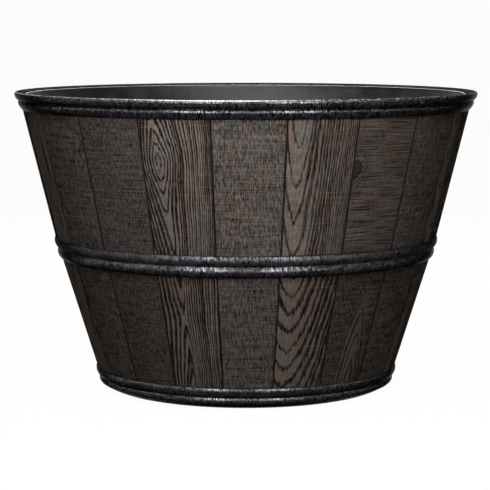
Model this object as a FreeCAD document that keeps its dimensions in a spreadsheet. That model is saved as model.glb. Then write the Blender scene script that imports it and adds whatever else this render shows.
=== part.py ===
import FreeCAD
import Part
import Sketcher

import math
import os

# A half-barrel planter: staves held by three hoops, a boarded head in their groove, and a drop-in liner.
# The barrel stands on the ground at height 0, with its axis on Z and its front towards -Y.
# Lengths are in millimetres and angles in degrees. Wall thicknesses are measured level, along the radius.
SIZES = {
    # Barrel: the wall is two straight cones that meet at the bilge, under the middle hoop.
    "overall_height": 335.0,
    "rim_radius": 260.0,
    "bilge_height": 167.5,
    "bilge_radius": 214.4,
    "shelf_height": 10.0,
    "foot_radius": 165.0,
    # Staves: their outer long edges are rounded, and the inner top edge has a bevel down from a flat land.
    "stave_count": 20,
    "stave_turn": 0.7,
    "stave_thickness": 12.5,
    "seam_round": 1.2,
    "chime_land": 6.0,
    "chime_depth": 16.0,
    # Hoops: half-round beads on a thin band that clears the staves.
    "hoop_clearance": 0.2,
    "hoop_edge": 0.4,
    "bead_rise": 1.6,
    # Rim hoop: its upper bead is rolled over the stave tops.
    "rim_cap": 6.0,
    "rim_overhang": 5.7,
    "rim_nose": 3.8,
    "rim_groove_drop": 11.2,
    "rim_bead_height": 8.8,
    "rim_bead_rise": 2.3,
    "rim_inner_drop": 1.8,
    "rim_crown": 0.6,
    # Middle hoop: two equal beads, the upper one across the bilge.
    "middle_hoop_rise": 5.0,
    "middle_bead_height": 12.0,
    # Foot hoop: a bead round the staves, and a foot turned in under their ends.
    "foot_groove_rise": 4.4,
    "foot_bead_height": 11.0,
    "foot_bead_rise": 1.3,
    "foot_corner_tuck": 2.4,
    "foot_corner_drop": 4.0,
    "foot_corner_rise": 0.9,
    "base_inset": 17.5,
    "base_land": 9.0,
    # Head: boards with a tongue all round that stands in the staves' croze groove.
    "croze_rise": 16.0,
    "croze_width": 6.0,
    "croze_depth": 5.0,
    "head_clearance": 0.4,
    "head_shoulder": 4.0,
    "board_count": 5,
    "dowel_radius": 4.0,
    "dowel_length": 40.0,
    "dowel_spread": 90.0,
    "dowel_play": 0.1,
    "dowel_end_play": 1.0,
    # Liner: a thin pot that stands on the head, clear of the staves and of the rim hoop.
    "liner_gap": 0.6,
    "liner_wall": 2.5,
    "liner_floor": 3.0,
    "liner_corner": 9.0,
    "lip_drop": 2.4,
    "lip_round": 0.9,
    "drain_radius": 10.0,
    "drain_clearance": 3.0,
}

# Points closer than this, in millimetres, are the same point.
same_place = 0.001

doc = FreeCAD.newDocument("barrel_planter")
sheet = doc.addObject("Spreadsheet::Sheet", "Sizes")
for row, (alias, value) in enumerate(SIZES.items(), start=1):
    sheet.set(f"A{row}", alias)
    sheet.set(f"B{row}", str(value))
    sheet.setAlias(f"B{row}", alias)
doc.recompute()


def measure(expression):
    return float(sheet.evalExpression(expression))


# Heights and radii that follow from the sizes, as expressions on the sheet.
stave_top = "(Sizes.overall_height - Sizes.rim_cap)"
chime_height = f"({stave_top} - Sizes.chime_depth)"
mouth_radius = "(Sizes.rim_radius - Sizes.rim_overhang)"
chime_radius = f"({mouth_radius} - Sizes.chime_land)"
stave_pitch = "(360 / Sizes.stave_count)"
upper_slope = f"(({mouth_radius} - Sizes.bilge_radius) / ({stave_top} - Sizes.bilge_height))"
lower_slope = "((Sizes.bilge_radius - Sizes.foot_radius) / (Sizes.bilge_height - Sizes.shelf_height))"
croze_height = "(Sizes.shelf_height + Sizes.croze_rise)"
croze_top = f"({croze_height} + Sizes.croze_width)"
tongue_top = f"({croze_top} - Sizes.head_clearance)"
head_bottom = f"({croze_height} - Sizes.head_shoulder)"
head_top = f"({tongue_top} + Sizes.head_shoulder)"


def upper_wall(height, inset="0"):
    return f"(Sizes.bilge_radius + {upper_slope} * ({height} - Sizes.bilge_height) - ({inset}))"


def lower_wall(height, inset="0"):
    return f"(Sizes.bilge_radius + {lower_slope} * ({height} - Sizes.bilge_height) - ({inset}))"


croze_radius = f"({lower_wall(croze_height, 'Sizes.stave_thickness')} + Sizes.croze_depth)"
head_radius = f"({croze_radius} - Sizes.head_clearance)"


def bead_arc(start, end, rise):
    # Radius of the arc that rises by this much over the straight line between two points.
    chord = f"(({end[0]} - {start[0]})^2 + ({end[1]} - {start[1]})^2)"
    return f"(({chord} / 4 + {rise}^2) / (2 * {rise}))"


def flank_arc(start, end):
    # Radius of the arc that leaves the start point and reaches the end point going straight up.
    across = f"({end[0]} - {start[0]})"
    along = f"({end[1]} - {start[1]})"
    return f"(({across}^2 + {along}^2) / (2 * {across}))"


def outward_arc(start, end, radius):
    # The short arc between two points of a section drawn anticlockwise, bulging away from its inside.
    chord = end - start
    away = FreeCAD.Vector(chord.y, -chord.x, 0)
    away.normalize()
    sagitta = radius - math.sqrt(radius ** 2 - chord.Length ** 2 / 4)
    return Part.Arc(start, (start + end) / 2 + away * sagitta, end)


def draw_section(sketch, outline):
    # Each point is a radius, a height and, where an arc leads on to the next point, the arc's radius.
    corners = [FreeCAD.Vector(measure(point[0]), measure(point[1]), 0) for point in outline]
    count = len(outline)
    starts = []
    ends = []
    for index, point in enumerate(outline):
        here = corners[index]
        there = corners[(index + 1) % count]
        if len(point) == 2:
            edge = sketch.addGeometry(Part.LineSegment(here, there))
        else:
            edge = sketch.addGeometry(outward_arc(here, there, measure(point[2])))
        # An arc is stored anticlockwise, so its first end may be either of the two points.
        first = sketch.getPoint(edge, 1)
        forward = first.distanceToPoint(here) < first.distanceToPoint(there)
        starts.append((edge, 1 if forward else 2))
        ends.append((edge, 2 if forward else 1))
    joints = [Sketcher.Constraint("Coincident", *ends[index - 1], *starts[index]) for index in range(count)]
    sizes = []
    bindings = []
    for index, point in enumerate(outline):
        sizes.append(Sketcher.Constraint("DistanceX", -1, 1, *starts[index], corners[index].x))
        bindings.append(point[0])
        sizes.append(Sketcher.Constraint("DistanceY", -1, 1, *starts[index], corners[index].y))
        bindings.append(point[1])
        if len(point) == 3:
            sizes.append(Sketcher.Constraint("Radius", starts[index][0], measure(point[2])))
            bindings.append(point[2])
    sketch.addConstraint(joints + sizes)
    for index, expression in enumerate(bindings, start=count):
        sketch.setExpression(f"Constraints[{index}]", expression)


def turned_body(label, outline, angle="360"):
    # A solid of revolution about the barrel's axis, evenly to both sides of the +X direction.
    body = doc.addObject("PartDesign::Body", label)
    body.Label = label
    plane = next(feature for feature in body.Origin.OriginFeatures if feature.Role == "XZ_Plane")
    sketch = body.newObject("Sketcher::SketchObject", f"{label}_section")
    sketch.AttachmentSupport = [(plane, "")]
    sketch.MapMode = "FlatFace"
    draw_section(sketch, outline)
    turn = body.newObject("PartDesign::Revolution", f"{label}_turn")
    turn.Profile = sketch
    turn.ReferenceAxis = (sketch, ["V_Axis"])
    turn.Midplane = True
    turn.setExpression("Angle", angle)
    doc.recompute()
    return body


def round_edges(body, edges, radius):
    # A fillet on the named edges of what the body holds so far.
    base = body.Tip
    rounding = body.newObject("PartDesign::Fillet", f"{base.Name}_round")
    rounding.Base = (base, edges)
    rounding.setExpression("Radius", radius)
    doc.recompute()


def lies_at(point, radius, height):
    return abs(math.hypot(point.x, point.y) - radius) < same_place and abs(point.z - height) < same_place


def ring_edge(shape, radius, height):
    # The edge that runs all the way round at this radius and height.
    for index, edge in enumerate(shape.Edges, start=1):
        if len(edge.Vertexes) == 1 and lies_at(edge.Vertexes[0].Point, radius, height):
            return f"Edge{index}"
    raise ValueError(f"no ring edge at radius {radius} and height {height}")


def on_outer_wall(point):
    height = str(point.z)
    wall = upper_wall(height) if point.z > measure("Sizes.bilge_height") else lower_wall(height)
    return lies_at(point, measure(wall), point.z)


def long_outer_edges(shape):
    # The straight edges that run up both sides of a stave's outer face.
    names = []
    for index, edge in enumerate(shape.Edges, start=1):
        if isinstance(edge.Curve, Part.Line) and all(on_outer_wall(vertex.Point) for vertex in edge.Vertexes):
            names.append(f"Edge{index}")
    return names


def make_stave(number):
    inner = "Sizes.stave_thickness"
    outline = [
        ("(Sizes.foot_radius - Sizes.stave_thickness)", "Sizes.shelf_height"),
        ("Sizes.foot_radius", "Sizes.shelf_height"),
        ("Sizes.bilge_radius", "Sizes.bilge_height"),
        (mouth_radius, stave_top),
        (chime_radius, stave_top),
        (upper_wall(chime_height, inner), chime_height),
        ("(Sizes.bilge_radius - Sizes.stave_thickness)", "Sizes.bilge_height"),
        (lower_wall(croze_top, inner), croze_top),
        (croze_radius, croze_top),
        (croze_radius, croze_height),
        (lower_wall(croze_height, inner), croze_height),
    ]
    stave = turned_body(f"stave_{number:02d}", outline, stave_pitch)
    round_edges(stave, long_outer_edges(stave.Shape), "Sizes.seam_round")
    # The first stave faces the front, and the others follow anticlockwise seen from above.
    stave.Placement = FreeCAD.Placement(FreeCAD.Vector(), FreeCAD.Rotation(FreeCAD.Vector(0, 0, 1), 1))
    stave.setExpression("Placement.Rotation.Angle", f"{stave_pitch} * {number - 1} + Sizes.stave_turn - 90")
    return stave


def make_rim_hoop():
    band = "-Sizes.hoop_clearance"
    face = "-Sizes.hoop_clearance - Sizes.hoop_edge"
    groove_height = "(Sizes.overall_height - Sizes.rim_groove_drop)"
    low = f"({groove_height} - Sizes.rim_bead_height)"
    low_edge = (upper_wall(low, face), low)
    groove = (upper_wall(groove_height, face), groove_height)
    nose = ("Sizes.rim_radius", "(Sizes.overall_height - Sizes.rim_nose)")
    crest = ("(Sizes.rim_radius - Sizes.rim_nose)", "Sizes.overall_height")
    inner_edge = (chime_radius, "(Sizes.overall_height - Sizes.rim_inner_drop)")
    outline = [
        (upper_wall(low, band), low),
        (*low_edge, bead_arc(low_edge, groove, "Sizes.rim_bead_rise")),
        (*groove, flank_arc(groove, nose)),
        (*nose, "Sizes.rim_nose"),
        (*crest, bead_arc(crest, inner_edge, "Sizes.rim_crown")),
        inner_edge,
        (chime_radius, stave_top),
        (upper_wall(stave_top, band), stave_top),
    ]
    return turned_body("rim_hoop", outline)


def make_middle_hoop():
    band = "-Sizes.hoop_clearance"
    face = "-Sizes.hoop_clearance - Sizes.hoop_edge"
    top = "(Sizes.bilge_height + Sizes.middle_hoop_rise)"
    groove_height = f"({top} - Sizes.middle_bead_height)"
    low = f"({groove_height} - Sizes.middle_bead_height)"
    low_edge = (lower_wall(low, face), low)
    groove = (lower_wall(groove_height, face), groove_height)
    top_edge = (upper_wall(top, face), top)
    outline = [
        (lower_wall(low, band), low),
        (*low_edge, bead_arc(low_edge, groove, "Sizes.bead_rise")),
        (*groove, bead_arc(groove, top_edge, "Sizes.bead_rise")),
        top_edge,
        (upper_wall(top, band), top),
        ("(Sizes.bilge_radius + Sizes.hoop_clearance)", "Sizes.bilge_height"),
    ]
    return turned_body("middle_hoop", outline)


def make_foot_hoop():
    band = "-Sizes.hoop_clearance"
    face = "-Sizes.hoop_clearance - Sizes.hoop_edge"
    groove_height = "(Sizes.shelf_height + Sizes.foot_groove_rise)"
    top = f"({groove_height} + Sizes.foot_bead_height)"
    base = ("(Sizes.foot_radius - Sizes.base_inset)", "0")
    corner = ("(Sizes.foot_radius - Sizes.foot_corner_tuck)", "(Sizes.shelf_height - Sizes.foot_corner_drop)")
    groove = (lower_wall(groove_height, face), groove_height)
    top_edge = (lower_wall(top, face), top)
    inner = "(Sizes.foot_radius - Sizes.base_inset - Sizes.base_land)"
    outline = [
        (inner, "0"),
        (*base, bead_arc(base, corner, "Sizes.foot_corner_rise")),
        (*corner, bead_arc(corner, groove, "Sizes.foot_bead_rise")),
        (*groove, bead_arc(groove, top_edge, "Sizes.bead_rise")),
        top_edge,
        (lower_wall(top, band), top),
        ("(Sizes.foot_radius + Sizes.hoop_clearance)", "Sizes.shelf_height"),
        (inner, "Sizes.shelf_height"),
    ]
    return turned_body("foot_hoop", outline)


def make_liner():
    outside = "Sizes.stave_thickness + Sizes.liner_gap"
    inside = f"{outside} + Sizes.liner_wall"
    lip_outside = f"({chime_radius} - Sizes.liner_gap)"
    lip_inside = f"({lip_outside} - Sizes.liner_wall)"
    lip_top = "(Sizes.overall_height - Sizes.lip_drop)"
    floor_top = f"({head_top} + Sizes.liner_floor)"
    outer_corner = (lower_wall(head_top, outside), head_top)
    inner_corner = (lower_wall(floor_top, inside), floor_top)
    outline = [
        ("Sizes.drain_radius", head_top),
        outer_corner,
        (f"(Sizes.bilge_radius - ({outside}))", "Sizes.bilge_height"),
        (upper_wall(chime_height, outside), chime_height),
        (lip_outside, stave_top),
        (lip_outside, lip_top),
        (lip_inside, lip_top),
        (lip_inside, stave_top),
        (upper_wall(chime_height, inside), chime_height),
        (f"(Sizes.bilge_radius - ({inside}))", "Sizes.bilge_height"),
        inner_corner,
        ("Sizes.drain_radius", floor_top),
    ]
    liner = turned_body("liner", outline)
    rounded = [
        (outer_corner, "Sizes.liner_corner"),
        (inner_corner, "Sizes.liner_corner - Sizes.liner_wall"),
        ((lip_outside, lip_top), "Sizes.lip_round"),
        ((lip_inside, lip_top), "Sizes.lip_round"),
    ]
    for (radius, height), rounding in rounded:
        round_edges(liner, [ring_edge(liner.Shape, measure(radius), measure(height))], rounding)
    return liner


def add_solid(kind, name, sizes, place):
    # A plain solid with its sizes and its place bound to the sheet.
    solid = doc.addObject(kind, name)
    for property_name, expression in sizes.items():
        solid.setExpression(property_name, expression)
    for axis, expression in zip("xyz", place):
        solid.setExpression(f"Placement.Base.{axis}", expression)
    return solid


def board_joint(number):
    # Where the joint after this many boards lies across the head.
    return f"({head_radius} * (2 * {number} / Sizes.board_count - 1))"


def add_dowel(name, joint, side, radius, length):
    # A round bar across a joint between two boards, half in each.
    middle = f"(({head_bottom} + {head_top}) / 2)"
    place = (f"{side} * Sizes.dowel_spread / 2", f"{board_joint(joint)} + {length} / 2", middle)
    bar = add_solid("Part::Cylinder", name, {"Radius": radius, "Height": length}, place)
    bar.Placement.Rotation = FreeCAD.Rotation(FreeCAD.Vector(1, 0, 0), 90)
    return bar


def make_head():
    inner = "(Sizes.stave_thickness + Sizes.head_clearance)"
    drain = "(Sizes.drain_radius + Sizes.drain_clearance)"
    low_shoulder = lower_wall(head_bottom, inner)
    high_shoulder = lower_wall(tongue_top, inner)
    blank = turned_body("head_blank", [
        (drain, head_bottom),
        (low_shoulder, head_bottom),
        (low_shoulder, croze_height),
        (head_radius, croze_height),
        (head_radius, tongue_top),
        (high_shoulder, tongue_top),
        (high_shoulder, head_top),
        (drain, head_top),
    ])
    board_count = round(measure("Sizes.board_count"))
    dowels = []
    bores = []
    for joint in range(1, board_count):
        for side in (-1, 1):
            pair = f"{joint}_{'left' if side < 0 else 'right'}"
            bore_length = "(Sizes.dowel_length + 2 * Sizes.dowel_end_play)"
            bore_radius = "(Sizes.dowel_radius + Sizes.dowel_play)"
            dowels.append(add_dowel(f"dowel_{pair}", joint, side, "Sizes.dowel_radius", "Sizes.dowel_length"))
            bores.append(add_dowel(f"dowel_bore_{pair}", joint, side, bore_radius, bore_length))
    bore_group = doc.addObject("Part::Compound", "dowel_bores")
    bore_group.Links = bores
    bored = doc.addObject("Part::Cut", "head_bored")
    bored.Base = blank
    bored.Tool = bore_group
    boards = []
    for number in range(1, board_count + 1):
        sizes = {
            "Length": f"2 * {head_radius}",
            "Width": f"2 * {head_radius} / Sizes.board_count",
            "Height": f"{head_top} - {head_bottom}",
        }
        place = (f"-{head_radius}", board_joint(number - 1), head_bottom)
        strip = add_solid("Part::Box", f"head_strip_{number}", sizes, place)
        board = doc.addObject("Part::Common", f"head_board_{number}")
        board.Label = f"head_board_{number}"
        board.Base = bored
        board.Tool = strip
        boards.append(board)
    group = doc.addObject("Part::Compound", "head_dowels")
    group.Label = "head_dowels"
    group.Links = dowels
    return boards + [group]


stave_count = round(measure("Sizes.stave_count"))
parts = [make_stave(number) for number in range(1, stave_count + 1)]
parts += [make_rim_hoop(), make_middle_hoop(), make_foot_hoop(), make_liner()]
parts += make_head()
doc.recompute()

for item in doc.Objects:
    if "Invalid" in item.State or "Error" in item.State:
        raise RuntimeError(f"{item.Name} failed: {item.State}")
for part in parts:
    if part.Shape.isNull() or not part.Shape.isValid():
        raise RuntimeError(f"{part.Label} has no valid shape")

os.makedirs("parts", exist_ok=True)
for part in parts:
    part.Shape.exportStep(f"parts/{part.Label}.step")
    print(f"{part.Label}: {len(part.Shape.Solids)} solid, {part.Shape.Volume / 1000:.1f} cm3")
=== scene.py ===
import math
import random

import bpy
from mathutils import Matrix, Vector


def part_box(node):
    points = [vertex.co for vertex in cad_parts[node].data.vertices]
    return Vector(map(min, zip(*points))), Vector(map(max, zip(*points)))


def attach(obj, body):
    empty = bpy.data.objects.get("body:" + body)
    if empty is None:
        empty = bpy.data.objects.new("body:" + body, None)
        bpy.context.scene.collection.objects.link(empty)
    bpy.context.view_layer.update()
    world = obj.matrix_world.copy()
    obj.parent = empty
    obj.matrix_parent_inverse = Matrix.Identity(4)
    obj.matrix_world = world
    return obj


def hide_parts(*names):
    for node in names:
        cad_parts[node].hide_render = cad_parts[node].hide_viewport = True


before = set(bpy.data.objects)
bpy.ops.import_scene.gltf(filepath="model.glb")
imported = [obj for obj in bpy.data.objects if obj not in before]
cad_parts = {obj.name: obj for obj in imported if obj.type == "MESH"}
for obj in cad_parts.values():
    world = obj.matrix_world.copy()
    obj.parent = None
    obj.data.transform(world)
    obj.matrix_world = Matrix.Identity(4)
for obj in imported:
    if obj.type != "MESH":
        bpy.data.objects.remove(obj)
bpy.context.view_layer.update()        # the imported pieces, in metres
scene = bpy.context.scene
print("frame loaded, %d nodes" % len(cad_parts))


# Nodes written as sums

class Rule:              # a node's output that takes part in sums like a number
    def __init__(self, socket):
        self.socket = socket

    @property
    def tree(self):
        return self.socket.id_data

    def math(self, operation, *others):
        return ruleOf(self.tree, "ShaderNodeMath", dict(enumerate((self, *others))), operation=operation)

    def __add__(self, other):
        return self.math("ADD", other)

    def __sub__(self, other):
        return self.math("SUBTRACT", other)

    def __rsub__(self, other):
        return self * -1 + other

    def __mul__(self, other):
        return self.math("MULTIPLY", other)

    def __truediv__(self, other):
        return self.math("DIVIDE", other)

    def __rtruediv__(self, other):
        return self.math("POWER", -1.0) * other

    __radd__ = __add__


def feed(slot, value):
    if isinstance(value, Rule):
        slot.id_data.links.new(value.socket, slot)
    else:
        slot.default_value = value


def addNode(tree, kind, feeds=None, **settings):
    made = tree.nodes.new(kind)
    for name, value in settings.items():
        setattr(made, name, value)
    for key, value in (feeds or {}).items():
        feed(made.inputs[key], value)
    return made


def ruleOf(tree, kind, feeds=None, output=0, **settings):            # a new node, taken by one output
    return Rule(addNode(tree, kind, feeds, **settings).outputs[output])


def rise(value, low, high, start=0.0, end=1.0, kind="SMOOTHSTEP"):   # low to high gives start to end
    feeds = {"Value": value, "From Min": low, "From Max": high, "To Min": start, "To Max": end}
    return ruleOf(value.tree, "ShaderNodeMapRange", feeds, interpolation_type=kind)


def between(share, start, end):                      # eased from start to end as share goes from 0 to 1
    return rise(share, 0.0, 1.0, start, end)


def mix(share, first, second):                       # by the Mix node's sockets for numbers
    return ruleOf(share.tree, "ShaderNodeMix", {0: share, 2: first, 3: second}, data_type="FLOAT")


def mixColour(share, first, second):                 # by the Mix node's sockets for colours
    return ruleOf(share.tree, "ShaderNodeMix", {0: share, 6: first, 7: second}, 2, data_type="RGBA")


def vector(x, y, z):
    tree = next(part for part in (x, y, z) if isinstance(part, Rule)).tree
    return ruleOf(tree, "ShaderNodeCombineXYZ", {0: x, 1: y, 2: z})


def parts(value):
    return [Rule(socket) for socket in addNode(value.tree, "ShaderNodeSeparateXYZ", {0: value}).outputs]


def noise(place, detail=2.0, roughness=0.5):         # about 0.5, one feature for each unit of place
    feeds = {"Vector": place, "Scale": 1.0, "Detail": detail, "Roughness": roughness}
    return ruleOf(place.tree, "ShaderNodeTexNoise", feeds)


noiseSpan = (0.3, 0.7)                               # nearly all that noise gives lies between these
socketKinds = {int: "NodeSocketInt", float: "NodeSocketFloat", bpy.types.Material: "NodeSocketMaterial"}


def givenTo(tree):                                   # what a tree is given, by the names of its inputs
    return {socket.name: Rule(socket) for socket in addNode(tree, "NodeGroupInput").outputs if socket.name}


def newTree(name, sizes):                            # a Geometry Nodes tree, an input for each size
    tree = bpy.data.node_groups.new(name, "GeometryNodeTree")
    tree.interface.new_socket("Geometry", in_out="INPUT", socket_type="NodeSocketGeometry")
    for label, value in sizes.items():
        tree.interface.new_socket(label, in_out="INPUT", socket_type=socketKinds[type(value)])
    tree.interface.new_socket("Geometry", in_out="OUTPUT", socket_type="NodeSocketGeometry")
    return tree, givenTo(tree)


def position(tree):
    return ruleOf(tree, "GeometryNodeInputPosition")


def ownValue(tree, name):                            # a named attribute of the points at hand
    return ruleOf(tree, "GeometryNodeInputNamedAttribute", {"Name": name}, data_type="FLOAT")


def store(shape, name, value, kind="FLOAT"):         # the shape, with a named attribute on its points
    feeds = {"Geometry": shape, "Name": name, "Value": value}
    return ruleOf(shape.tree, "GeometryNodeStoreNamedAttribute", feeds, data_type=kind, domain="POINT")


def roundAxis(radius, angle, height):                # a place given by its turn about the barrel's axis
    return vector(radius * angle.math("COSINE"), radius * angle.math("SINE"), height)


def endTree(tree, shape, material):                  # smooth plain faces with their material
    smooth = ruleOf(tree, "GeometryNodeSetShadeSmooth", {"Geometry": shape})
    plain = ruleOf(tree, "GeometryNodeRealizeInstances", {0: smooth})
    dressed = ruleOf(tree, "GeometryNodeSetMaterial", {"Geometry": plain, "Material": material})
    addNode(tree, "NodeGroupOutput", {0: dressed})


def shapeWith(tree, name, sizes, base=None):         # a plain mesh object from a tree and its sizes
    piece = bpy.data.objects.new(name, base or bpy.data.meshes.new(name))
    scene.collection.objects.link(piece)
    modifier = piece.modifiers.new("shape", "NODES")
    modifier.node_group = tree
    for item in tree.interface.items_tree:
        if item.in_out == "INPUT" and item.name in sizes:
            modifier[item.identifier] = sizes[item.name]
    graph = bpy.context.evaluated_depsgraph_get()
    mesh = bpy.data.meshes.new_from_object(piece.evaluated_get(graph), depsgraph=graph)
    piece.modifiers.remove(modifier)
    piece.data = mesh
    mesh.name = name
    return piece


# Shader groups that the finishes share

def newGroup(name, inputs):                          # a shader group that puts out one mask
    group = bpy.data.node_groups.new(name, "ShaderNodeTree")
    for label in inputs:
        kind = "NodeSocketVector" if label == "Place" else "NodeSocketFloat"
        group.interface.new_socket(label, in_out="INPUT", socket_type=kind)
    group.interface.new_socket("Mask", in_out="OUTPUT", socket_type="NodeSocketFloat")
    return group, givenTo(group)


def makeFibreGroup():                                # streaks of a given width and length, 0 to 1
    group, given = newGroup("fibre", ("Place", "Width", "Length", "Low", "High"))
    across, along, seed = parts(given["Place"])
    streaked = noise(vector(across / given["Width"], along / given["Length"], seed), detail=0.6)
    addNode(group, "NodeGroupOutput", {0: rise(streaked, given["Low"], given["High"])})
    return group


def makeCloudGroup():                                # soft patches of a given size, 0 to 1
    group, given = newGroup("clouds", ("Place", "Size", "Detail", "Low", "High"))
    across, along, up = parts(given["Place"])
    size = given["Size"]
    patched = noise(vector(across / size, along / size, up / size), given["Detail"], roughness=0.6)
    addNode(group, "NodeGroupOutput", {0: rise(patched, given["Low"], given["High"])})
    return group


fibreGroup = makeFibreGroup()
cloudGroup = makeCloudGroup()


def useGroup(group, **feeds):                        # a group placed in a material with its own values
    return ruleOf(feeds["Place"].tree, "ShaderNodeGroup", feeds, node_tree=group)


def streaks(place, width, length, low, high):        # they start at low in the noise, full at high
    return useGroup(fibreGroup, Place=place, Width=width, Length=length, Low=low, High=high)


def clouds(place, size, detail, low, high):
    return useGroup(cloudGroup, Place=place, Size=size, Detail=detail, Low=low, High=high)


def newMaterial(name):
    material = bpy.data.materials.new(name)
    material.use_nodes = True
    return material, material.node_tree, material.node_tree.nodes["Principled BSDF"]


def setFinish(shader, colour, roughness, normal):    # the three that change over the surface
    for label, value in (("Base Color", colour), ("Roughness", roughness), ("Normal", normal)):
        feed(shader.inputs[label], value)


def attribute(tree, name, output="Fac"):
    return ruleOf(tree, "ShaderNodeAttribute", output=output, attribute_name=name)


def objectPlace(tree):
    return ruleOf(tree, "ShaderNodeTexCoord", output="Object")


def bump(height, distance):
    return ruleOf(height.tree, "ShaderNodeBump", {"Height": height, "Distance": distance}, "Normal")


def linear(red, green, blue):                        # a colour as it is seen, 0 to 255, for a shader socket
    shades = [value / 255 for value in (red, green, blue)]
    return tuple(s / 12.92 if s <= 0.04045 else ((s + 0.055) / 1.055) ** 2.4 for s in shades) + (1.0,)


black = (0.0, 0.0, 0.0, 1.0)
white = (1.0, 1.0, 1.0, 1.0)


# Stave wood: weathered boards, brown ridges over dark valleys

staveLook = dict(
    ridgeGrey=linear(128, 122, 117), ridgeBrown=linear(139, 118, 105), valley=linear(26, 22, 20),
    roughness=0.7, valleyRoughness=0.9, specular=0.0, relief=0.0005,
    # painted shade: a darker colour laid along each seam between staves, where shade falls in the groove;
    # the pair after it sets how far from the seam it fades
    seam=linear(36, 33, 31), seamShadeReach=(0.0006, 0.0015),
    hair=(0.0008, 0.01, 0.25, 0.75), fleck=(0.0006, 0.005, 0.385, 0.465),        # as streaks takes them
    sawLine=(0.035, 0.0007, 0.32, 0.66), patch=(0.01, 0.03, *noiseSpan), scratch=(0.05, 0.0009, 0.68, 0.74),
    fray=0.15, lateShift=0.3, patchBrown=0.8,        # how far hairs and patches shift line and colour
    ringStep=3.7, ringRow=0.5, lineWidths=(0.6, 1.4),                # each ring draws its own width of line
    lineStart=1.7, lineFull=1.1, lineEnd=0.3,        # before the ring's end, in widths of its late wood
    fleckLeast=0.65, boldClears=0.7, sawClears=0.5,  # how flecks give way to other marks
    sawDepth=0.95, hairDepth=0.3, scratchLift=0.3, knotDark=0.84, knotRim=4.4,
)


def ringValley(rings, late):                         # the dark late wood at the end of each ring
    turn = rings.math("FRACT")
    start, full, end = (1 - late * staveLook[name] for name in ("lineStart", "lineFull", "lineEnd"))
    return rise(turn, start, full) * (1 - rise(turn, end, 1.0))


def makeStaveWood():
    look = staveLook
    material, tree, shader = newMaterial("staveWood")
    place = attribute(tree, "board", "Vector")
    bold, saw, knot = (attribute(tree, name) for name in ("bold", "saw", "knot"))
    hair, fleck, sawLine, patch, scratch = (
        streaks(place, *look[name]) for name in ("hair", "fleck", "sawLine", "patch", "scratch"))

    # Ring lines, each of its own width
    rings = attribute(tree, "rings") + (hair - 0.5) * look["fray"]
    late = attribute(tree, "late") * (1 + (patch - 0.5) * look["lateShift"])
    seed = parts(place)[2]
    draw = noise(vector(rings.math("FLOOR") * look["ringStep"], look["ringRow"], seed))
    lines = ringValley(rings, late * rise(draw, *noiseSpan, *look["lineWidths"])) * bold

    # Flecks, saw marks, hairs, scratches and the knot
    texture = fleck * between(sawLine, look["fleckLeast"], 1.0)
    texture = texture * (1 - bold * bold * look["boldClears"]) * (1 - saw * saw * look["sawClears"])
    dark = lines.math("MAXIMUM", texture).math("MAXIMUM", sawLine * saw * look["sawDepth"])
    dark = dark + (0.5 - hair) * look["hairDepth"] - scratch * look["scratchLift"]
    dark = dark.math("MAXIMUM", knot * look["knotDark"])
    dark = dark.math("MAXIMUM", knot * (1 - knot) * look["knotRim"])
    dark = dark.math("MINIMUM", 1.0).math("MAXIMUM", 0.0)

    brown = attribute(tree, "brown") + (patch - 0.5) * look["patchBrown"] - knot
    ridge = mixColour(brown, look["ridgeGrey"], look["ridgeBrown"])
    # the tone attribute carries each stave's own tone and the painted shade of its lower half
    toned = mixColour(attribute(tree, "tone"), black, mixColour(dark, ridge, look["valley"]))
    # painted shade: the colour darkens towards each seam, where shade falls in the groove between staves
    paintedSeamShade = 1 - rise(attribute(tree, "edge"), *look["seamShadeReach"])
    colour = mixColour(paintedSeamShade, toned, look["seam"])
    roughness = between(dark, look["roughness"], look["valleyRoughness"])
    setFinish(shader, colour, roughness, bump(1 - dark, look["relief"]))
    shader.inputs["Specular IOR Level"].default_value = look["specular"]
    return material


# Hoop metal: black paint over hammered iron, with fine ticks across the section

hoopLook = dict(
    paint=linear(5, 5, 5), tickPaint=linear(42, 42, 44), bare=linear(110, 110, 112),
    edgeTint=(0.2, 0.2, 0.2, 1.0), metallic=1.0, roughness=0.24, dull=0.3, satin=0.45, relief=0.0002,
    patch=(0.012, 3.0, 0.35, 0.65), tick=(0.0007, 0.5, 0.42, 0.58),  # as clouds takes them
    tickRadius=0.25, tickRun=0.15, patchLeast=0.8, bareLeast=0.68,
)


def makeHoopMetal():
    look = hoopLook
    material, tree, shader = newMaterial("hoopMetal")
    place = objectPlace(tree)
    x, y, z = parts(place)
    outwards = look["tickRadius"] / (x * x + y * y).math("SQRT")
    ticks = clouds(vector(x * outwards, y * outwards, z * look["tickRun"]), *look["tick"])
    patches = clouds(place, *look["patch"])
    painted = mixColour(ticks * between(patches, look["patchLeast"], 1.0), look["paint"], look["tickPaint"])
    wear = attribute(tree, "wear")                   # 1 is worn bare, 0 is glossy paint and -1 is satin
    worn = wear.math("MAXIMUM", 0.0) * between(ticks, look["bareLeast"], 1.0)
    satin = (wear * -1).math("MAXIMUM", 0.0)
    roughness = between(patches, look["roughness"], look["dull"]) + satin * look["satin"]
    setFinish(shader, mixColour(worn, painted, look["bare"]), roughness, bump(ticks, look["relief"]))
    shader.inputs["Metallic"].default_value = look["metallic"]
    shader.inputs["Specular Tint"].default_value = look["edgeTint"]
    return material


# Liner plastic: smooth dark grey with a cloudy bloom

linerLook = dict(
    colour=linear(9, 9, 10), bloom=linear(20, 20, 21), specular=0.19,
    roughness=0.42, bloomRoughness=0.57, relief=0.0001,
    smudge=(0.03, 4.0, 0.3, 0.75), speck=(0.004, 3.0, *noiseSpan), speckLeast=0.8,
)


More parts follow.
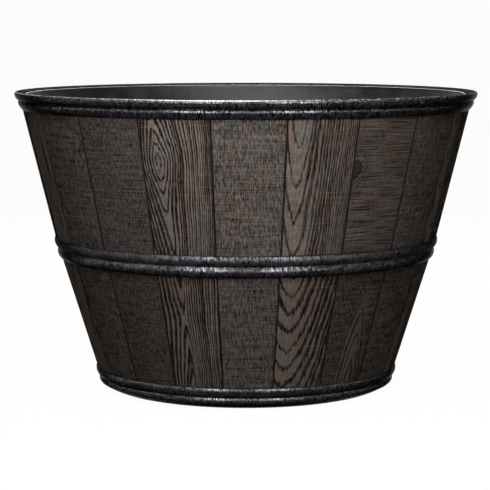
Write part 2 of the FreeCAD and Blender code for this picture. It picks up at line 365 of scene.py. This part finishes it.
def makeLinerPlastic():
    look = linerLook
    material, tree, shader = newMaterial("linerPlastic")
    place = objectPlace(tree)
    specks = clouds(place, *look["speck"])
    bloom = clouds(place, *look["smudge"]) * between(specks, look["speckLeast"], 1.0)
    colour = mixColour(bloom, look["colour"], look["bloom"])
    roughness = between(bloom, look["roughness"], look["bloomRoughness"])
    setFinish(shader, colour, roughness, bump(specks, look["relief"]))
    shader.inputs["Specular IOR Level"].default_value = look["specular"]
    return material


# Head wood: plain sawn boards that the liner stands on

headLook = dict(
    pale=linear(122, 96, 72), dark=linear(74, 56, 42), roughness=0.75, fibreRoughness=0.85, relief=0.0003,
    ring=(0.007, 0.16, 0.4, 0.6), ringShare=0.7, fibreShare=0.3,
    boardFibre=(0.0011, 0.03, 0.35, 0.65), dowelFibre=(0.0006, 0.02, 0.35, 0.65),
)


def makeHeadWood(name, fibre):
    look = headLook
    material, tree, shader = newMaterial(name)
    along, across, up = parts(objectPlace(tree))
    ringWidth = look["ring"][0]
    place = vector(across, along, up / ringWidth)
    fine = streaks(place, *fibre)
    dark = streaks(place, *look["ring"]) * look["ringShare"] + fine * look["fibreShare"]
    roughness = between(fine, look["roughness"], look["fibreRoughness"])
    colour = mixColour(dark, look["pale"], look["dark"])
    setFinish(shader, colour, roughness, bump(1 - dark, look["relief"]))
    return material


staveWood = makeStaveWood()
hoopMetal = makeHoopMetal()
linerPlastic = makeLinerPlastic()
headWood = makeHeadWood("headWood", headLook["boardFibre"])
dowelWood = makeHeadWood("dowelWood", headLook["dowelFibre"])
print("finishes made")


# Barrel wall: the rule that every piece follows

wall = dict(
    bilgeHeight=0.1675, bilgeRadius=0.2144, footRadius=0.165, thickness=0.0125,
    chimeDepth=0.016, chimeLand=0.006, crozeRise=0.016, crozeWidth=0.006, crozeDepth=0.005,
)
staveLow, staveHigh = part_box("stave_01")
wall["footHeight"] = staveLow.z
wall["topHeight"] = staveHigh.z
wall["mouthRadius"] = -staveLow.y                    # the first stave faces the front
wall["chimeHeight"] = wall["topHeight"] - wall["chimeDepth"]
wall["chimeRadius"] = wall["mouthRadius"] - wall["chimeLand"]
wall["crozeLow"] = wall["footHeight"] + wall["crozeRise"]
wall["crozeHigh"] = wall["crozeLow"] + wall["crozeWidth"]
upperSlope = (wall["mouthRadius"] - wall["bilgeRadius"]) / (wall["topHeight"] - wall["bilgeHeight"])
lowerSlope = (wall["bilgeRadius"] - wall["footRadius"]) / (wall["bilgeHeight"] - wall["footHeight"])


def outerWall(height):                               # the outside radius at a height
    slope = upperSlope if height > wall["bilgeHeight"] else lowerSlope
    return wall["bilgeRadius"] + slope * (height - wall["bilgeHeight"])


# Staves: a block bent to the wall's rule, with its grain carved in

stave = dict(
    count=20, turn=math.radians(0.7), seamRound=0.0012, columns=96, rows=180, edgeColumns=3.0,
    seedStep=7.31, toneRange=(0.76, 0.95), figureShift=0.03,
)
wallInputs = (
    "footHeight", "footRadius", "bilgeHeight", "bilgeRadius", "topHeight", "mouthRadius", "thickness",
    "chimeHeight", "chimeRadius", "crozeLow", "crozeHigh", "crozeDepth",
)
carving = dict(
    ringDepth=0.0007, fleckDepth=0.0001, sawDepth=0.0002, wobble=0.0045, ripple=0.0012, fray=0.008,
    # lowerShade is painted shade: it darkens the tone of each stave's lower half, where less light falls
    line=0.0021, lowerShade=0.83,
)
grain = dict(            # width and height of each mark, and where in the noise it starts and is full
    wobble=(0.05, 0.11), ripple=(0.01, 0.03), fray=(0.0009, 0.02),
    fleck=(0.0021, 0.0085), fleckSpan=(0.42, 0.62), sawLine=(0.028, 0.0019), sawSpan=(0.4, 0.65),
    markRoughness=0.55, figureBlend=0.012,
)
ringRule = dict(leanFade=0.0003, waistClear=1.23, knotEdge=(0.75, 1.1), lateRange=(0.05, 0.5), fadeFrom=0.7)

# Where the rings centre across and up a stave, how they open out from there, and how boldly they show
plainFigure = dict(reach=1.0, lean=0.0, crowding=0.0, skew=0.0, waisted=0.0, line=1.0, width=1.0, knot=0.0)
figures = {
    "eye": dict(across=-0.0165, height=0.271, taper=0.3, reach=0.055, round=1.7, lean=-0.07, pitch=0.003,
                crowding=6.0, bold=0.95, saw=0.15, brown=0.45),
    "ribbed": dict(across=-0.007, height=0.103, taper=0.17, round=1.6, pitch=0.0039, skew=0.32, waisted=1.0,
                   bold=0.96, saw=0.35, brown=0.4),
    "cathedral": dict(across=-0.0225, height=0.321, taper=0.3, round=1.35, pitch=0.0114, crowding=48.0,
                      line=1.15, bold=0.88, saw=0.25, brown=0.45),
    "sweeping": dict(across=-0.021, height=0.165, taper=0.5, round=1.5, pitch=0.01, crowding=7.0,
                     line=1.5, bold=0.95, saw=0.3, brown=0.55),
    "flecked": dict(across=-0.12, height=0.2, taper=0.05, reach=0.3, round=2.0, lean=0.02, pitch=0.0033,
                    bold=0.35, saw=0.35, brown=0.15),
    "fine": dict(across=0.1, height=0.2, taper=0.05, reach=0.3, round=2.0, pitch=0.003,
                 bold=0.35, saw=0.25, brown=0.35),
    "sawn": dict(across=-0.032, height=0.262, taper=0.95, reach=0.03, round=2.0, pitch=0.0045, crowding=6.0,
                 width=0.026, bold=0.6, saw=0.95, knot=0.0085, brown=0.45),
    "peaked": dict(across=0.011, height=0.0, taper=0.2, round=1.4, pitch=0.0055,
                   width=0.03, bold=0.85, saw=0.4, brown=0.4),
}
frontStaves = {          # upper figure, lower figure and tone of the staves in front
    18: ("fine", "fine", 0.88), 19: ("flecked", "fine", 0.74), 20: ("eye", "ribbed", 0.97),
    1: ("flecked", "flecked", 1.03), 2: ("cathedral", "sweeping", 1.0), 3: ("sawn", "peaked", 0.76),
    4: ("flecked", "fine", 0.88),
}
otherFigures = [
    ("cathedral", "peaked"), ("fine", "flecked"), ("eye", "sweeping"), ("sawn", "ribbed"),
    ("flecked", "fine"),
]


def inputLabel(key):                                 # footHeight becomes Foot Height
    return "".join(" " + letter if letter.isupper() else letter for letter in key).title()


def staveInputs(number):
    chance = random.Random(number)
    tone = chance.uniform(*stave["toneRange"])
    names = otherFigures[number % len(otherFigures)]
    if number in frontStaves:
        *names, tone = frontStaves[number]
    sizes = {
        "Centre Angle": 2 * math.pi * (number - 1) / stave["count"] + stave["turn"] - math.pi / 2,
        "Pitch": 2 * math.pi / stave["count"], "Seam Round": stave["seamRound"],
        "Columns": stave["columns"], "Rows": stave["rows"], "Edge Columns": stave["edgeColumns"],
        "Seed": number * stave["seedStep"], "Tone": tone, "Material": staveWood,
    }
    sizes.update({inputLabel(key): wall[key] for key in wallInputs})
    sizes.update({inputLabel(key): value for key, value in carving.items()})
    for half, name in zip(("Upper", "Lower"), names):
        figure = dict(plainFigure, **figures[name])
        if number not in frontStaves:                # the same figures, moved about
            figure["across"] *= chance.choice((-1, 1))
            figure["height"] += chance.uniform(-stave["figureShift"], stave["figureShift"])
        sizes.update({"%s %s" % (half, inputLabel(key)): value for key, value in figure.items()})
    return sizes


def wallFaces(given, height):                        # the outer and inner radius at a height
    bilgeHeight, bilgeRadius = given["Bilge Height"], given["Bilge Radius"]
    fromBilge = height - bilgeHeight
    upperRun = (given["Mouth Radius"] - bilgeRadius) / (given["Top Height"] - bilgeHeight)
    lowerRun = (bilgeRadius - given["Foot Radius"]) / (bilgeHeight - given["Foot Height"])
    outer = bilgeRadius + (fromBilge * upperRun).math("MINIMUM", fromBilge * lowerRun)
    innerBilge = bilgeRadius - given["Thickness"]
    chimeStart = innerBilge + (given["Chime Height"] - bilgeHeight) * upperRun
    chimeRun = (given["Chime Radius"] - chimeStart) / (given["Top Height"] - given["Chime Height"])
    chime = chimeStart + (height - given["Chime Height"]) * chimeRun
    croze = innerBilge + given["Croze Depth"] + (given["Croze Low"] - bilgeHeight) * lowerRun
    aboveLow = height.math("GREATER_THAN", given["Croze Low"])
    inCroze = aboveLow * height.math("LESS_THAN", given["Croze High"])
    inner = mix(inCroze, (outer - given["Thickness"]).math("MAXIMUM", chime), croze)
    return outer, inner


def seamRule(given, column, outer):                  # the columns crowd at the rounded seams
    seamRound = given["Seam Round"]
    width = outer * given["Pitch"]
    edgeShare = seamRound / width
    spread = column.math("ABSOLUTE") * 2
    lastPlain = 1 - given["Edge Columns"] * 2 / (given["Columns"] - 1)
    share = (rise(spread, 0.0, lastPlain, 0.0, 0.5 - edgeShare, "LINEAR")
             + rise(spread, lastPlain, 1.0, 0.0, edgeShare, "LINEAR"))
    side = share * column.math("SIGN")
    edge = (0.5 - share) * width
    short = (seamRound - edge).math("MAXIMUM", 0.0)
    rounding = seamRound - (seamRound * seamRound - short * short).math("MAXIMUM", 0.0).math("SQRT")
    return side, edge, rounding


def ringField(given, half, across, height):          # counts rings outwards from where they centre
    def size(key):
        return given["%s %s" % (half, key)]

    # How far out a point is
    fromEye = height - size("Height")
    fromAxis = across - size("Across")
    offset = fromAxis - fromEye * size("Lean") / (fromAxis * fromAxis / ringRule["leanFade"] + 1)
    sideways = offset.math("ABSOLUTE") * (1 + offset.math("SIGN") * size("Skew"))
    crowding = sideways * size("Crowding")
    spread = sideways * (crowding + 1)
    stretch = fromEye / size("Reach")
    opening = fromEye.math("ABSOLUTE") * size("Taper") / (stretch * stretch + 1).math("SQRT")
    power = size("Round")
    oval = (spread.math("POWER", power) + opening.math("POWER", power)).math("POWER", 1 / power)
    clear = size("Pitch") * ringRule["waistClear"]
    beside = (spread * spread + clear * clear).math("SQRT")
    radius = mix(size("Waisted"), oval, beside - opening * clear / beside)

    # How close the rings lie there, so that each line keeps its width
    sideShare = mix(size("Waisted"), (spread / oval).math("POWER", power - 1), 1.0)
    endShare = (opening / oval).math("POWER", power - 1) * size("Taper")
    closeness = sideShare * (crowding * 2 + 1)
    steepness = (closeness * closeness + endShare * endShare).math("SQRT")
    lateShare = given["Line"] * size("Line") / size("Pitch") * steepness

    knotStart, knotEnd = (size("Knot") * share for share in ringRule["knotEdge"])
    hasKnot = size("Knot").math("GREATER_THAN", 0.0)
    return {
        "rings": radius / size("Pitch"),
        "late": rise(lateShare, *ringRule["lateRange"], *ringRule["lateRange"], "LINEAR"),
        "bold": size("Bold") * (1 - rise(radius, size("Width") * ringRule["fadeFrom"], size("Width"))),
        "knot": (1 - rise(radius, knotStart, knotEnd)) * hasKnot,
        "saw": size("Saw"),
        "brown": size("Brown"),
    }


def grainRule(given, across, height):                # the marks and their depth, on a flat board
    def over(size):
        return vector(across / size[0], height / size[1], given["Seed"])

    def swing(size):                                 # from -1 to 1
        return (noise(over(size)) - 0.5) * 2

    def mark(size, span):                            # from 0 to 1
        return rise(noise(over(size), roughness=grain["markRoughness"]), *span)

    bent = across + swing(grain["wobble"]) * given["Wobble"] + swing(grain["ripple"]) * given["Ripple"]
    frayed = height + swing(grain["fray"]) * given["Fray"]
    isUpper = rise(height, given["Bilge Height"] - grain["figureBlend"], given["Bilge Height"])
    lower, upper = (ringField(given, half, bent, frayed) for half in ("Lower", "Upper"))
    marks = {name: mix(isUpper, lower[name], upper[name]) for name in lower}
    trough = 0.5 - (marks["rings"] * (2 * math.pi)).math("COSINE") * 0.5
    fleck = mark(grain["fleck"], grain["fleckSpan"])
    sawLine = mark(grain["sawLine"], grain["sawSpan"])
    depth = (trough * marks["bold"] * given["Ring Depth"]
             + fleck * (1 - marks["bold"]) * given["Fleck Depth"]
             + sawLine * marks["saw"] * given["Saw Depth"])
    # painted shade: the tone is scaled down on the lower half of the wall, where less light falls
    marks["tone"] = given["Tone"] * mix(isUpper, given["Lower Shade"], 1.0)
    return marks, depth


def makeStaveTree():
    tree, given = newTree("staveShape", staveInputs(1))
    counts = {"Vertices X": given["Columns"], "Vertices Y": 2, "Vertices Z": given["Rows"]}
    shape = ruleOf(tree, "GeometryNodeMeshCube", dict(counts, Size=(1.0, 1.0, 1.0)))
    column, inwards, level = parts(position(tree))   # each from -0.5 to 0.5
    height = mix(level + 0.5, given["Foot Height"], given["Top Height"])
    outer, inner = wallFaces(given, height)
    side, edge, rounding = seamRule(given, column, outer)
    across = side * given["Pitch"] * given["Bilge Radius"]
    marks, depth = grainRule(given, across, height)
    for name, value in dict(marks, edge=edge).items():
        shape = store(shape, name, value)
    shape = store(shape, "board", vector(across, height, given["Seed"]), "FLOAT_VECTOR")
    radius = mix(0.5 - inwards, inner, outer - rounding - depth)
    angle = given["Centre Angle"] + side * given["Pitch"]
    spot = roundAxis(radius, angle, height)
    bent = ruleOf(tree, "GeometryNodeSetPosition", {"Geometry": shape, "Position": spot})
    endTree(tree, bent, given["Material"])
    return tree


staveTree = makeStaveTree()
for number in range(1, stave["count"] + 1):
    board = shapeWith(staveTree, "board_%02d" % number, staveInputs(number))
    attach(board, "barrel")
    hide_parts("stave_%02d" % number)
print("staves carved, %d faces each" % len(board.data.polygons))


# Hoops and liner: a section turned about the axis

def arc(start, end, bulge, count):                   # points on the way, bulging to its right
    chord = Vector(end) - Vector(start)
    half = chord.length / 2
    radius = (half ** 2 + bulge ** 2) / (2 * bulge)
    away = Vector((chord.y, -chord.x)).normalized()
    middle = Vector(start) + chord / 2 - away * (radius - bulge)
    sweep = 2 * math.asin(half / radius)
    first = Vector(start) - middle
    turns = [sweep * step / count for step in range(count)]
    return [tuple(middle + Vector((first.x * math.cos(turn) - first.y * math.sin(turn),
                                   first.x * math.sin(turn) + first.y * math.cos(turn)))) for turn in turns]


def bead(start, end, bulge, fullest, count):         # like arc, but fullest at a chosen share of the way
    chord = Vector(end) - Vector(start)
    away = Vector((chord.y, -chord.x)).normalized()
    points = []
    for step in range(count):
        share = step / count
        side = fullest if share < fullest else 1 - fullest
        fullness = 1 - ((share - fullest) / side) ** 2
        points.append(tuple(Vector(start) + chord * share + away * bulge * fullness))
    return points


def straight(start, end, count):
    return [tuple(Vector(start).lerp(Vector(end), step / count)) for step in range(count)]


def roundCorner(before, corner, after, radius, count):               # a tangent arc in place of a corner
    inWay = (Vector(before) - Vector(corner)).normalized()
    outWay = (Vector(after) - Vector(corner)).normalized()
    half = inWay.angle(outWay) / 2
    start = Vector(corner) + inWay * radius / math.tan(half)
    end = Vector(corner) + outWay * radius / math.tan(half)
    bulge = radius * (1 - math.sin(half))
    turnsLeft = inWay.x * outWay.y - inWay.y * outWay.x < 0
    points = arc(start, end, bulge, count) if turnsLeft else arc(end, start, bulge, count)[:0:-1]
    return points + [tuple(end)]


def run(points, dent=0.0, wear=0.0):                 # a stretch of a section, how hammered and how worn
    return points, dent, wear


def sectionMesh(name, runs):                         # the runs go anticlockwise about the section
    mesh = bpy.data.meshes.new(name)
    spots = [(radius, 0.0, height) for points, _, _ in runs for radius, height in points]
    mesh.from_pydata(spots, [], [])
    for label, column in (("dent", 1), ("wear", 2)):
        share = mesh.attributes.new(label, "FLOAT", "POINT")
        share.data.foreach_set("value", [part[column] for part in runs for _ in part[0]])
    return mesh


hoop = dict(clearance=0.0002, edge=0.0001, beadSteps=12)
hammer = {"Dent Depth": 0.00008, "Dent Width": 0.0011, "Dent Length": 0.006, "Material": hoopMetal}
dents = dict(detail=3.0, roughness=0.6)
turnedInputs = dict(hammer, Points=1, Steps=1, Seed=0.0)
closeEnough = 1e-6       # points this near each other are one


def makeTurnedTree():
    tree, given = newTree("turnedShape", turnedInputs)
    rows = given["Points"] + 1
    shape = ruleOf(tree, "GeometryNodeMeshGrid", {"Vertices X": given["Steps"] + 1, "Vertices Y": rows})
    index = ruleOf(tree, "GeometryNodeInputIndex")
    row = index.math("MODULO", rows).math("MODULO", given["Points"])
    angle = (index / rows).math("FLOOR") / given["Steps"] * (2 * math.pi)

    def sampled(value, kind):                        # a value of the section's own points
        feeds = {"Geometry": given["Geometry"], "Value": value, "Index": row}
        return ruleOf(tree, "GeometryNodeSampleIndex", feeds, data_type=kind, domain="POINT")

    for name in ("dent", "wear"):
        shape = store(shape, name, sampled(ownValue(tree, name), "FLOAT"))
    radius, _, height = parts(sampled(position(tree), "FLOAT_VECTOR"))
    spot = roundAxis(radius, angle, height)
    turned = ruleOf(tree, "GeometryNodeSetPosition", {"Geometry": shape, "Position": spot})
    closed = ruleOf(tree, "GeometryNodeMergeByDistance", {"Geometry": turned, "Distance": closeEnough})

    # Hammer marks go in along the surface's normal
    x, y, z = parts(position(tree))
    wide, tall = given["Dent Width"], given["Dent Length"]
    blows = noise(vector(x / wide, y / wide, z / tall + given["Seed"]), **dents)
    push = rise(blows, *noiseSpan) * ownValue(tree, "dent") * given["Dent Depth"] * -1
    normal = ruleOf(tree, "GeometryNodeInputNormal")
    inward = ruleOf(tree, "ShaderNodeVectorMath", {0: normal, "Scale": push}, operation="SCALE")
    hammered = ruleOf(tree, "GeometryNodeSetPosition", {"Geometry": closed, "Offset": inward})
    endTree(tree, hammered, given["Material"])
    return tree


turnedTree = makeTurnedTree()


def turnedPiece(name, node, body, runs, sizes):
    section = sectionMesh(name + "Section", runs)
    piece = shapeWith(turnedTree, name, dict(sizes, Points=len(section.vertices)), section)
    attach(piece, body)
    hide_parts(node)
    print("%s turned, %d faces" % (name, len(piece.data.polygons)))


beadSteps = hoop["beadSteps"]
standOff = hoop["clearance"] + hoop["edge"]


def onBand(height, away):                            # a point of the section near the wall's outside
    return (outerWall(height) + away, height)


def makeHoop(name, node, runs, sizes):
    hammering = dict(hammer, Steps=sizes["steps"], Seed=sizes["seed"])
    turnedPiece(name, node, "barrel", runs, hammering)


rim = dict(
    nose=0.0026, grooveDrop=0.0098, grooveOut=0.0022, beadRise=0.0015, beadFullest=0.7, notch=0.0012,
    notchHalf=0.00025, flankRise=0.0007, flankFullest=0.6, innerDrop=0.0018, crown=0.0004, crownDent=0.5,
    wearFrom=0.15, wearTo=0.65, satin=-1.0, steps=1300, seed=1.0,
)


def makeRimHoop():
    low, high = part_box("rim_hoop")
    groove = onBand(high.z - rim["grooveDrop"], rim["grooveOut"])
    notchLow = (groove[0], groove[1] - rim["notchHalf"])
    notchHigh = (groove[0], groove[1] + rim["notchHalf"])
    innerEdge = (wall["chimeRadius"], high.z - rim["innerDrop"])
    innerLow = (wall["chimeRadius"], wall["topHeight"])

    # The flank meets the round nose where a straight line from the groove would touch it
    nose = Vector((high.x - rim["nose"], high.z - rim["nose"]))
    away = Vector(groove) - nose
    flankTurn = math.atan2(away.y, away.x) + math.acos(rim["nose"] / away.length)
    noseTurns = [flankTurn + (math.pi / 2 - flankTurn) * step / beadSteps for step in range(beadSteps)]
    noseWays = [Vector((math.cos(turn), math.sin(turn))) for turn in noseTurns]
    nosePoints = [tuple(nose + rim["nose"] * way) for way in noseWays]
    wearShares = [(turn - rim["wearFrom"]) / (rim["wearTo"] - rim["wearFrom"]) for turn in noseTurns]
    noseRuns = [run([point], 1.0, min(1.0, max(0.0, wear))) for point, wear in zip(nosePoints, wearShares)]
    runs = [
        run([onBand(low.z, hoop["clearance"])]),
        run(bead(onBand(low.z, standOff), notchLow, rim["beadRise"], rim["beadFullest"], beadSteps), 1.0),
        run([notchLow, (groove[0] - rim["notch"], groove[1])]),
        run(bead(notchHigh, nosePoints[0], rim["flankRise"], rim["flankFullest"], beadSteps // 2), 1.0),
        *noseRuns,
        run(arc((nose.x, high.z), innerEdge, rim["crown"], beadSteps // 2), rim["crownDent"], rim["satin"]),
        run([innerEdge, innerLow, onBand(wall["topHeight"], hoop["clearance"])], 0.0, rim["satin"]),
    ]
    makeHoop("rimHoop", "rim_hoop", runs, rim)


middle = dict(beadRise=0.0025, beadFullest=0.48, topBeadRise=0.0022, topSatin=-0.3, steps=1100, seed=2.0)


def makeMiddleHoop():
    low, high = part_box("middle_hoop")
    lowEdge = onBand(low.z, standOff)
    groove = onBand((low.z + high.z) / 2, standOff)
    topEdge = onBand(high.z, standOff)
    kink = (wall["bilgeRadius"] + hoop["clearance"], wall["bilgeHeight"])
    runs = [
        run([onBand(low.z, hoop["clearance"])]),
        run(bead(lowEdge, groove, middle["beadRise"], middle["beadFullest"], beadSteps), 1.0),
        run(arc(groove, topEdge, middle["topBeadRise"], beadSteps), 1.0, middle["topSatin"]),
        run([topEdge, onBand(high.z, hoop["clearance"]), kink]),
    ]
    makeHoop("middleHoop", "middle_hoop", runs, middle)


foot = dict(
    grooveRise=0.0044, beadRise=0.0022, lowBeadRise=0.0026, lowFullest=0.45,
    cornerTuck=0.0024, cornerDrop=0.004, cornerRise=0.0009, cornerDent=0.6, baseInset=0.0175, baseLand=0.009,
    steps=900, seed=3.0,
)


def makeFootHoop():
    low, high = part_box("foot_hoop")
    base = (wall["footRadius"] - foot["baseInset"], low.z)
    corner = (wall["footRadius"] - foot["cornerTuck"], wall["footHeight"] - foot["cornerDrop"])
    groove = onBand(wall["footHeight"] + foot["grooveRise"], standOff)
    topEdge = onBand(high.z, standOff)
    staveEnd = (wall["footRadius"] + hoop["clearance"], wall["footHeight"])
    inner = base[0] - foot["baseLand"]
    runs = [
        run([(inner, low.z)]),
        run(arc(base, corner, foot["cornerRise"], beadSteps), foot["cornerDent"]),
        run(bead(corner, groove, foot["lowBeadRise"], foot["lowFullest"], beadSteps), 1.0),
        run(arc(groove, topEdge, foot["beadRise"], beadSteps), 1.0),
        run([topEdge, onBand(high.z, hoop["clearance"]), staveEnd, (inner, wall["footHeight"])]),
    ]
    makeHoop("footHoop", "foot_hoop", runs, foot)


liner = dict(
    gap=0.0006, wall=0.0025, floor=0.003, corner=0.009, lipRound=0.0009, drain=0.01,
    cornerSteps=8, floorSteps=10, wallSteps=12, steps=360,
)


def makeLiner():
    low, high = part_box("liner")

    def side(height, depth):                         # a point of the wall, depth in from its outside
        return (outerWall(height) - wall["thickness"] - liner["gap"] - depth, height)

    def rounded(before, corner, after, radius):
        return roundCorner(before, corner, after, radius, liner["cornerSteps"])

    floorTop = low.z + liner["floor"]
    lipOut = wall["chimeRadius"] - liner["gap"]
    lipIn = lipOut - liner["wall"]
    outLip, inLip = (lipOut, high.z), (lipIn, high.z)
    outNeck, inNeck = (lipOut, wall["topHeight"]), (lipIn, wall["topHeight"])
    outChime, inChime = (side(wall["chimeHeight"], depth) for depth in (0.0, liner["wall"]))
    outBilge, inBilge = (side(wall["bilgeHeight"], depth) for depth in (0.0, liner["wall"]))
    outCorner, inCorner = side(low.z, 0.0), side(floorTop, liner["wall"])
    drainLow, drainHigh = (liner["drain"], low.z), (liner["drain"], floorTop)

    # Up the outside and down the inside, where the points nearest a floor's corner give way to its rounding
    points = straight(drainLow, outCorner, liner["floorSteps"])[:-1]
    points += rounded(drainLow, outCorner, outBilge, liner["corner"])
    points += straight(outBilge, outChime, liner["wallSteps"]) + [outChime, outNeck]
    points += rounded(outNeck, outLip, inLip, liner["lipRound"])
    points += rounded(outLip, inLip, inNeck, liner["lipRound"])
    points += [inNeck] + straight(inChime, inBilge, liner["wallSteps"]) + [inBilge]
    points += rounded(inBilge, inCorner, drainHigh, liner["corner"] - liner["wall"])
    points += straight(inCorner, drainHigh, liner["floorSteps"])[2:] + [drainHigh]
    sizes = {"Steps": liner["steps"], "Material": linerPlastic}
    turnedPiece("linerPot", "liner", "liner", [run(points)], sizes)


makeRimHoop()
makeMiddleHoop()
makeFootHoop()
makeLiner()


# Head: the boards and dowels keep their own shapes

for name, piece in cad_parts.items():
    if name.startswith("head_"):
        piece.data.materials.clear()
        piece.data.materials.append(dowelWood if name == "head_dowels" else headWood)
print("head dressed")


# Studio: a white floor and low white wall, soft lamps and the camera

studio = dict(
    floorRadius=12.0, wallHeight=2.6, sides=96,
    whiteShare=0.97, floorColour=(0.3, 0.3, 0.3, 1.0), worldLevel=0.05,
)


def makeWhite():                                     # white to the eye and to gloss, plain to the lamps
    material = bpy.data.materials.new("studioWhite")
    material.use_nodes = True
    tree = material.node_tree
    tree.nodes.clear()
    path = addNode(tree, "ShaderNodeLightPath")
    seen = Rule(path.outputs["Is Camera Ray"])
    for name in ("Is Glossy Ray", "Is Transmission Ray"):
        seen = seen.math("MAXIMUM", Rule(path.outputs[name]))
    plain = ruleOf(tree, "ShaderNodeBsdfDiffuse", {"Color": mixColour(seen, studio["floorColour"], white)})
    glow = ruleOf(tree, "ShaderNodeEmission", {"Color": white, "Strength": 1.0})
    both = ruleOf(tree, "ShaderNodeMixShader", {0: seen * studio["whiteShare"], 1: plain, 2: glow})
    addNode(tree, "ShaderNodeOutputMaterial", {"Surface": both})
    return material


studioWhite = makeWhite()


def ring(radius, height, count):
    turns = [2 * math.pi * step / count for step in range(count)]
    return [(radius * math.cos(turn), radius * math.sin(turn), height) for turn in turns]


def stagePiece(name, spots, faces):
    mesh = bpy.data.meshes.new(name)
    mesh.from_pydata(spots, [], faces)
    mesh.materials.append(studioWhite)
    piece = bpy.data.objects.new(name, mesh)
    scene.collection.objects.link(piece)


sides = studio["sides"]
lowRing, highRing = (ring(studio["floorRadius"], height, sides) for height in (0.0, studio["wallHeight"]))
stagePiece("floor", lowRing, [list(range(sides))])
stagePiece("backWall", lowRing + highRing, [
    [(side + 1) % sides, side, side + sides, (side + 1) % sides + sides] for side in range(sides)])

world = bpy.data.worlds.new("studio")
world.use_nodes = True
background = world.node_tree.nodes["Background"]
background.inputs["Color"].default_value = white
background.inputs["Strength"].default_value = studio["worldLevel"]
scene.world = world

# Lamps light the wood, and cards show only as gloss: place, the point each faces, width, length, watts
lamps = {
    "leftFront": ((-0.13, -0.79, 0.85), (0.0, 0.0, 0.2), 0.25, 0.3, 6.5),
    "rightFront": ((0.13, -0.79, 0.85), (0.0, 0.0, 0.2), 0.25, 0.3, 5.5),
    "leftRear": ((-0.51, 1.41, 1.0), (0.0, 0.0, 0.2), 0.5, 0.8, 8.0),
    "rightRear": ((0.51, 1.41, 1.0), (0.0, 0.0, 0.2), 0.5, 0.8, 8.0),
}
cards = {
    "leftCard": ((-0.42, -1.12, 0.26), (0.0, 0.0, 0.26), 0.36, 0.5, 46.0),
    "rightCard": ((0.42, -1.12, 0.26), (0.0, 0.0, 0.26), 0.36, 0.5, 42.0),
    "leftHighCard": ((-0.42, -1.12, 0.86), (0.0, 0.0, 0.86), 0.3, 0.7, 11.0),
    "rightHighCard": ((0.42, -1.12, 0.86), (0.0, 0.0, 0.86), 0.3, 0.7, 15.0),
    "leftFloorCard": ((-0.33, -1.0, 0.002), (-0.33, -1.0, 1.0), 0.2, 0.35, 11.0),
    "rightFloorCard": ((0.33, -1.0, 0.002), (0.33, -1.0, 1.0), 0.2, 0.35, 10.5),
    "topCard": ((-0.13, 1.0, 1.1), (-0.13, 1.0, 0.0), 0.46, 3.0, 95.0),
}


def hangLamp(name, place, aim, width, length, watts):
    lamp = bpy.data.lights.new(name, "AREA")
    lamp.shape = "RECTANGLE"
    lamp.size = width
    lamp.size_y = length
    lamp.energy = watts
    holder = bpy.data.objects.new(name, lamp)
    holder.location = place
    holder.rotation_euler = (Vector(aim) - Vector(place)).to_track_quat("-Z", "Y").to_euler()
    holder.visible_camera = False
    scene.collection.objects.link(holder)
    return holder


for name, settings in lamps.items():
    hangLamp(name, *settings).visible_glossy = False
for name, settings in cards.items():
    hangLamp(name, *settings).visible_diffuse = False

view = dict(
    place=(-0.00105, -2.29, 0.4225), downTilt=math.radians(6.551),
    focalPixels=2025.0, imageWidth=490, sensorWidth=36.0,
)
camera = bpy.data.cameras.new("camera")
camera.sensor_width = view["sensorWidth"]
camera.lens = view["focalPixels"] / view["imageWidth"] * camera.sensor_width
cameraHolder = bpy.data.objects.new("camera", camera)
cameraHolder.location = view["place"]
cameraHolder.rotation_euler = (math.pi / 2 - view["downTilt"], 0.0, 0.0)
scene.collection.objects.link(cameraHolder)
scene.camera = cameraHolder
scene.view_settings.view_transform = "Standard"
print("studio set")
